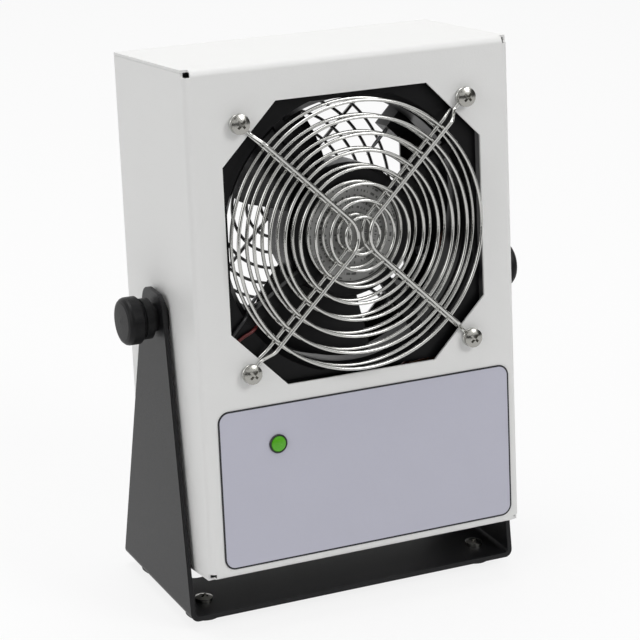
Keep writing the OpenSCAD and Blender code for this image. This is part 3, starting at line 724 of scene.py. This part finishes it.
class BLOWER_OT_fan(bpy.types.Operator):
    """Lofts one blade, repeats it round the hub"""

    bl_idname = "blower.fan"
    bl_label = "Fan rotor"

    HUB = 29.0
    TIP = 55.3
    DEPTH = 19.2
    RIM = 0.8  # the blades keep this far inside the hub's two ends
    ROOT = HUB - 0.6
    START = math.radians(37)

    def execute(self, context):
        sizes = settings(context, "blower_fan")
        black = moulded("rotor_black", (0.005, 0.005, 0.0055), 0.34, 900.0, 3e-5, gloss=0.22)
        hub = new_piece("hub_shape", mesh_of("hub_shape", self.hub), black)
        recipe = Recipe("fan_rotor_blades", {
            "Blade Count": sizes.blades, "Hub": hub, "Material": black,
        })
        given = recipe.given
        centres = recipe.node(
            "GeometryNodeMeshLine", {"mode": "OFFSET"},
            {"Count": given["Blade Count"], "Offset": (0.0, 0.0, 0.0)},
        )[0]
        index = recipe.node("GeometryNodeInputIndex", {}, {})[0]
        spin = index * math.tau / given["Blade Count"]
        turn = recipe.node("ShaderNodeCombineXYZ", {}, {2: spin})[0]
        blades = recipe.node(
            "GeometryNodeInstanceOnPoints", {},
            {"Points": centres, "Instance": given["Geometry"], "Rotation": turn},
        )[0]
        core = recipe.node("GeometryNodeObjectInfo", {}, {"Object": given["Hub"]})["Geometry"]
        blade = mesh_of("blade_shape", lambda work: self.blade(work, sizes.turn, sizes.sweep))
        rotor = recipe.grow(blade, recipe.join(core, blades))
        bpy.data.objects.remove(hub)
        place = at_fan(ROTOR_Y) @ TO_BACK
        place_piece(rotor, place, "fan_rotor", ["impeller"])
        return {"FINISHED"}

    def hub(self, work):
        r = self.HUB
        d = self.DEPTH
        profile = [
            (r - 1.8, d - 2.0), (r - 1.8, 0.5), (r - 1.5, 0.0), (r - 0.4, 0.0), (r, 0.4),
            (r, d - 2.2), (r - 0.5, d - 1.0), (r - 1.6, d - 0.2), (r - 3.0, d), (12.0, d),
            (11.4, d - 0.7), (5.0, d - 0.7), (4.6, d), (1.6, d), (1.55, d - 2.0),
            (r - 1.8, d - 2.0),
        ]
        lathe(work, in_mm(profile), 96)
        bmesh.ops.remove_doubles(work, verts=work.verts, dist=1e-6)
        bmesh.ops.recalc_face_normals(work, faces=work.faces)

    def blade(self, work, lead, sweep, chord=28, span=14):
        """u runs from the front edge to the rear edge, s from hub to tip."""
        def point(u, s):
            u = 0.5 + (u - 0.5) * (1 - 0.1 * s ** 8)
            r = self.ROOT + (self.TIP - self.ROOT) * s
            angle = -(self.START + sweep * s + lead * (1.15 - 0.15 * s) * u)
            height = self.RIM + (self.DEPTH - 2 * self.RIM) * u
            return Vector((r * math.cos(angle), r * math.sin(angle), height)) * MM

        sheets = {}
        for side in (-1, 1):
            rows = []
            for i in range(span + 1):
                row = []
                for k in range(chord + 1):
                    u = k / chord
                    s = i / span
                    along = point(min(1, u + 0.01), s) - point(max(0, u - 0.01), s)
                    across = point(u, min(1, s + 0.01)) - point(u, max(0, s - 0.01))
                    normal = along.cross(across).normalized()
                    body = math.sqrt(max(0.0, 4 * u * (1 - u)))
                    thick = (0.22 + 0.62 * body) * (1 - 0.35 * s) * MM
                    row.append(work.verts.new(point(u, s) + normal * thick * side))
                rows.append(row)
            sheets[side] = rows
        for rows in sheets.values():
            for low, high in zip(rows, rows[1:]):
                for k in range(chord):
                    work.faces.new((low[k], low[k + 1], high[k + 1], high[k]))
        top = sheets[1]
        low = sheets[-1]
        rims = [
            (top[0], low[0]), (top[-1], low[-1]),
            ([row[0] for row in top], [row[0] for row in low]),
            ([row[-1] for row in top], [row[-1] for row in low]),
        ]
        for a, b in rims:
            for k in range(len(a) - 1):
                work.faces.new((a[k], a[k + 1], b[k + 1], b[k]))
        bmesh.ops.recalc_face_normals(work, faces=work.faces)


class BLOWER_OT_leads(bpy.types.Operator):
    """Grows the wires of the case along smooth paths"""

    bl_idname = "blower.leads"
    bl_label = "Leads"

    def execute(self, context):
        red = moulded("lead_red", (0.1, 0.004, 0.004), 0.4)
        orange = moulded("lead_orange", (0.12, 0.03, 0.006), 0.4)
        black = moulded("lead_black", (0.012, 0.012, 0.013), 0.35)
        green = moulded("lead_green", (0.03, 0.25, 0.08), 0.35)
        brown = moulded("lead_brown", (0.12, 0.05, 0.02), 0.35)
        top = 36.1  # of the high voltage block
        up = FAN_Z + 50.4  # the emitters' terminals
        low = FAN_Z - 50.4
        self.lead("plus_leads", red, "red_pvc", 2.2, IN_CASE, [
            [(-51, 38.5, up), (-61.5, 40, 184), (-61.5, 40, 62), (-34, 36, 46), (-34, 36, top)],
            [(51, 38.5, low), (58, 36, 82), (20, 32, 60), (-14, 36, 46), (-14, 36, top)]])
        self.lead("minus_leads", orange, "orange_pvc", 2.2, IN_CASE, [
            [(-51, 38.5, low), (-62, 46, 84), (-58, 44, 62), (-28, 40, 50), (-28, 40, top)],
            [(51, 38.5, up), (61.5, 40, 184), (61.5, 40, 70), (26, 38, 66), (-8, 40, 52),
             (-8, 40, top)]])
        self.lead("ground_leads", green, "green_pvc", 1.8, IN_CASE, [
            [(34, 43.3, 48), (34, 40, 60), (-40, 48, 66), (-66, 52, 78), (-66, 60, 170),
             (-58, 64, 192.4), (-56.4, 66, 192.4)]])
        self.lead("mains_leads", brown, "brown_pvc", 1.8, IN_CASE, [
            [(27, 43.3, 43), (24, 41, 48), (6, 46, 50), (-13, 52.3, 44), (-14, 53.9, 44)],
            [(-14, 53.7, 34), (-11, 46.4, 26), (31, 43.2, 15.4), (46, 33, 13), (48, 28.2, 11)]])
        self.lead("fan_lead_plus", red, "red_pvc", 1.4, at_fan(), [self.fan_path(1, 3)])
        self.lead("fan_lead_minus", black, "potting", 1.4, at_fan(), [self.fan_path(-1, 0)])
        return {"FINISHED"}

    def fan_path(self, side, out):
        a = math.radians(213)
        u = Vector((math.cos(a), 0, math.sin(a)))
        n = Vector((-math.sin(a), 0, math.cos(a))) * side
        lift = Vector((0, FAN_Y + 4.6, 0))
        front = Vector((0, FAN_Y - 1.25, 0))
        return [u * 20 + n + lift, u * 48 + n + lift, u * 53 + n * 3.4 + lift,
                u * 59.6 + n * 3.4 + front, u * 66 + n * 2 + front,
                (-62.6, FAN_Y - 1, -41 - out), (-62.6, 16, -60 - out), (-58, 30, -62 - out),
                (-48, 30, -78 - out), (-45, 27.5, -82 - out)]

    def lead(self, node, material, slot, diameter, place, paths):
        recipe = Recipe(node + "_run", {"Diameter": diameter * MM, "Material": material})
        curve = recipe.node("GeometryNodeMeshToCurve", {}, {"Mesh": recipe.given["Geometry"]})[0]
        shape = recipe.tube(curve, recipe.given["Diameter"], 16)
        smooth = [in_mm(fillet(path, 5.0)) for path in paths]
        run = recipe.grow(path_mesh(node + "_paths", *smooth), shape)
        place_piece(run, place, "housing", [node], 60.0)


class BLOWER_OT_lamp(bpy.types.Operator):
    """Turns the status lamp: a flat green lens in a thin black ring"""

    bl_idname = "blower.lamp"
    bl_label = "Status lamp"

    def execute(self, context):
        place = IN_CASE @ Matrix.Translation((LAMP_X * MM, 0.0, LAMP_Z * MM)) @ TO_FRONT
        f = Finish("lamp_green")
        grain = f.noise(1600.0, 2.0)
        bright = f.blend(grain, (0.05, 0.28, 0.004, 1.0), (0.09, 0.40, 0.008, 1.0))
        green = f.surface(
            Base_Color=bright, Roughness=(grain * 0.1 + 0.2).clamp(),
            Emission_Color=bright, Emission_Strength=0.16,
            Normal=f.bump(grain, 2e-5),
        )
        lens = [(0, -3), (3.42, -3), (3.42, 0.85), (3.2, 1.15), (2.4, 1.4), (1.2, 1.55), (0, 1.6)]
        self.turned("lamp_lens", lens, green, place, "clear_lens", ["lamp"])
        ring = [(3.45, -5), (3.45, 1.1), (3.55, 1.25), (3.85, 1.2), (4.1, 0.9), (4.1, 0.37),
                (3.62, 0.37), (3.62, -5), (3.45, -5)]
        black = moulded("ring_black", (0.01, 0.012, 0.01), 0.3)
        self.turned("lamp_ring", ring, black, place, "gloss_black", ["lamp_bezel"])
        return {"FINISHED"}

    def turned(self, name, profile, material, place, slot, nodes):
        def build(work):
            lathe(work, in_mm(profile), 64)
            bmesh.ops.remove_doubles(work, verts=work.verts, dist=1e-6)
            bmesh.ops.recalc_face_normals(work, faces=work.faces)

        piece = new_piece(name, mesh_of(name, build), material)
        place_piece(piece, place, "housing", nodes, 30.0)


class BLOWER_OT_prints(bpy.types.Operator):
    """Prints the front label and the motor plate, without words"""

    bl_idname = "blower.prints"
    bl_label = "Printed films"

    ROWS = 0.42  # rings of marks per millimetre on the motor's film

    def execute(self, context):
        paint_nodes(self.front_label(), "front_label")
        paint_nodes(self.motor_label(), "motor_label")
        return {"FINISHED"}

    def front_label(self):
        f = Finish("label_film")
        x, y, z = case_axes(f)
        a = (x - LABEL_X).absolute() - (LABEL_W / 2 - LABEL_CORNER)
        b = (z - LABEL_Z).absolute() - (LABEL_H / 2 - LABEL_CORNER)
        outside = (a.maximum(0.0) * a.maximum(0.0) + b.maximum(0.0) * b.maximum(0.0)).root()
        reach = outside + a.maximum(b).minimum(0.0) - LABEL_CORNER
        line = reach > -LABEL_LINE
        grain = f.noise(1100.0, 2.0, 0.6)
        cloud = f.noise(40.0, 2.0)
        tone = (grain * 0.5 + cloud * 0.5).clamp()
        film = f.blend(tone, (0.515, 0.515, 0.60, 1.0), (0.555, 0.555, 0.645, 1.0))
        return f.surface(
            Base_Color=f.blend(line, film, (0.008, 0.008, 0.012, 1.0)),
            Roughness=((grain - 0.5) * 0.12 + 0.42).clamp(),
            Normal=f.bump(grain, 2e-5),
        )

    def motor_label(self):
        f = Finish("motor_film")
        x, y, z = case_axes(f)
        z = z - FAN_Z
        away = (x * x + z * z).root()
        turn = z.math("ARCTAN2", x)
        rows = away * self.ROWS
        part = rows.math("FRACT")
        band = (part > 0.3) * (part < 0.72)
        angle = f.node("ShaderNodeCombineXYZ", {}, {
            0: turn * 6.0, 1: rows.math("FLOOR") * 3.1, 2: 0.0})[0]
        marks = f.noise(2.2, 1.0, 0.5, angle)
        words = (marks > 0.52) * band * (away > 5.0) * (away < 20.5)
        rim = (away > 20.9) * (away < 21.3)
        print_here = (words * 0.75 + rim).clamp()
        cloud = f.noise(260.0, 3.0, 0.6)
        film = f.blend(cloud, (0.24, 0.24, 0.235, 1.0), (0.36, 0.36, 0.35, 1.0))
        return f.surface(
            Base_Color=f.blend(print_here, film, (0.02, 0.02, 0.02, 1.0)),
            Metallic=(cloud * 0.2 + 0.35).clamp(),
            Roughness=(cloud * 0.2 + 0.3).clamp(),
            Normal=f.bump(cloud, 3e-5),
        )


class BLOWER_OT_stage(bpy.types.Operator):
    """Sets up the floor, the lamps, the background and the camera"""

    bl_idname = "blower.stage"
    bl_label = "Stage"

    # Name, place in metres, diameter in metres, power in watts.
    LAMPS = (
        ("key", (1.0, -1.5, 1.5), 0.9, 13.5),
        ("fill", (-1.8, -0.7, 0.9), 1.2, 6.5),
        ("top", (-0.1, 0.3, 1.8), 1.2, 14.0),
    )
    # Name, place and size in metres.
    CARDS = (
        ("flag_low", (0.2, -2.6, 0.1), (4.4, 1.3)),
        ("flag_left", (-2.7, -1.5, 0.6), (1.5, 1.6)),
        ("flag_right", (2.2, -0.8, 0.5), (1.7, 1.7)),
        ("flag_high", (-1.3, -2.6, 2.3), (2.6, 1.1)),
    )
    SHIFT = (0.0225, 0.0172)
    WHITE = (1.0, 1.0, 1.0, 1.0)
    SKY = 0.45
    FLOOR_SEEN = 0.84  # share of plain white in the floor that the camera sees
    FLOOR_MIRRORED = 0.75

    def execute(self, context):
        stage = settings(context, "blower_stage")
        scene = context.scene
        scene.view_settings.view_transform = "Standard"
        self.floor()
        self.background(scene)
        for name, place, size, power in self.LAMPS:
            self.lamp(name, place, size, power)
        for name, place, size in self.CARDS:
            self.flag(name, place, size)
        ahead = Vector(stage.ahead).normalized()
        across = Vector(stage.across).normalized()
        up = across.cross(ahead).normalized()
        data = bpy.data.cameras.new("studio_camera")
        data.lens = stage.lens
        data.sensor_width = 36.0
        data.shift_x, data.shift_y = self.SHIFT
        data.clip_start = 0.05
        camera = bpy.data.objects.new("studio_camera", data)
        turn = Matrix((across, up, -ahead)).transposed().to_4x4()
        camera.matrix_world = Matrix.Translation(stage.camera_place) @ turn
        scene.collection.objects.link(camera)
        scene.camera = camera
        return {"FINISHED"}

    def floor(self):
        grid = bmesh.new()
        bmesh.ops.create_grid(grid, x_segments=8, y_segments=8, size=4.0)
        mesh = bpy.data.meshes.new("studio_floor")
        grid.to_mesh(mesh)
        grid.free()
        f = Finish("floor_paper")
        white = f.node("ShaderNodeEmission", {}, {"Color": self.WHITE, "Strength": 1.0})
        paper = f.node("ShaderNodeBsdfDiffuse", {}, {"Color": (0.9, 0.9, 0.9, 1.0)})
        rays = f.node("ShaderNodeLightPath", {}, {})
        mirrored = (rays["Is Glossy Ray"] + rays["Is Transmission Ray"]).clamp()
        seen = rays["Is Camera Ray"] * self.FLOOR_SEEN
        share = (seen + mirrored * self.FLOOR_MIRRORED).clamp()
        mix = f.node("ShaderNodeMixShader", {}, {0: share, 1: paper[0], 2: white[0]})
        f.node("ShaderNodeOutputMaterial", {}, {"Surface": mix[0]})
        mesh.materials.append(f.material)
        floor = bpy.data.objects.new("studio_floor", mesh)
        bpy.context.scene.collection.objects.link(floor)

    def flag(self, name, place, size):
        """A dark card that gives bright metal its dark edges."""
        grid = bmesh.new()
        bmesh.ops.create_grid(grid, x_segments=1, y_segments=1, size=0.5)
        bmesh.ops.scale(grid, vec=(size[0], size[1], 1.0), verts=grid.verts)
        mesh = bpy.data.meshes.new(name)
        grid.to_mesh(mesh)
        grid.free()
        mesh.materials.append(moulded(name, (0.03, 0.03, 0.03), 0.9))
        card = bpy.data.objects.new(name, mesh)
        aim = Vector((0.0, 0.0, 0.14)) - Vector(place)
        turn = aim.to_track_quat("Z", "Y").to_matrix().to_4x4()
        card.matrix_world = Matrix.Translation(place) @ turn
        bpy.context.scene.collection.objects.link(card)

    def background(self, scene):
        world = bpy.data.worlds.new("studio_world")
        scene.world = world
        world.use_nodes = True
        tree = world.node_tree
        f = Graph(tree)
        rays = f.node("ShaderNodeLightPath", {}, {})
        seen = (rays["Is Camera Ray"] + rays["Is Glossy Ray"] + rays["Is Transmission Ray"]).clamp()
        shown = f.node("ShaderNodeBackground", {}, {"Color": self.WHITE, "Strength": 1.0})
        light = f.node("ShaderNodeBackground", {}, {"Color": self.WHITE, "Strength": self.SKY})
        mix = f.node("ShaderNodeMixShader", {}, {0: seen, 1: light[0], 2: shown[0]})
        f.node("ShaderNodeOutputWorld", {}, {"Surface": mix[0]})

    def lamp(self, name, place, size, power):
        data = bpy.data.lights.new(name, "AREA")
        data.shape = "DISK"
        data.size = size
        data.energy = power
        lamp = bpy.data.objects.new(name, data)
        aim = Vector((0.0, 0.0, 0.12)) - Vector(place)
        turn = aim.to_track_quat("-Z", "Y").to_matrix().to_4x4()
        lamp.matrix_world = Matrix.Translation(place) @ turn
        bpy.context.scene.collection.objects.link(lamp)


class BLOWER_PT_panel(bpy.types.Panel):
    """Lists the steps and their sizes"""

    bl_label = "Ionizing blower"
    bl_idname = "BLOWER_PT_panel"
    bl_space_type = "VIEW_3D"
    bl_region_type = "UI"
    bl_category = "Blower"

    def draw(self, context):
        for name, group in GROUPS.items():
            box = self.layout.box()
            values = settings(context, name)
            for key in group.__annotations__:
                box.prop(values, key)
        for step in STEPS:
            self.layout.operator(step.bl_idname)


GROUPS = {
    "blower_case": BlowerCase, "blower_guard": BlowerGuard, "blower_fan": BlowerFan,
    "blower_stage": BlowerStage,
}
STEPS = (
    BLOWER_OT_paint, BLOWER_OT_metal, BLOWER_OT_plastic, BLOWER_OT_guards, BLOWER_OT_fan,
    BLOWER_OT_leads, BLOWER_OT_lamp, BLOWER_OT_prints, BLOWER_OT_stage,
)


def register():
    for group in GROUPS.values():
        bpy.utils.register_class(group)
    for step in (*STEPS, BLOWER_PT_panel):
        bpy.utils.register_class(step)
    for name, group in GROUPS.items():
        setattr(bpy.types.Scene, name, bpy.props.PointerProperty(type=group))


def unregister():
    for name in GROUPS:
        delattr(bpy.types.Scene, name)
    for step in (BLOWER_PT_panel, *reversed(STEPS)):
        bpy.utils.unregister_class(step)
    for group in GROUPS.values():
        bpy.utils.unregister_class(group)


def main():
    register()
    for step in STEPS:
        getattr(bpy.ops.blower, step.bl_idname.split(".")[1])()


if __name__ == "__main__":
    main()
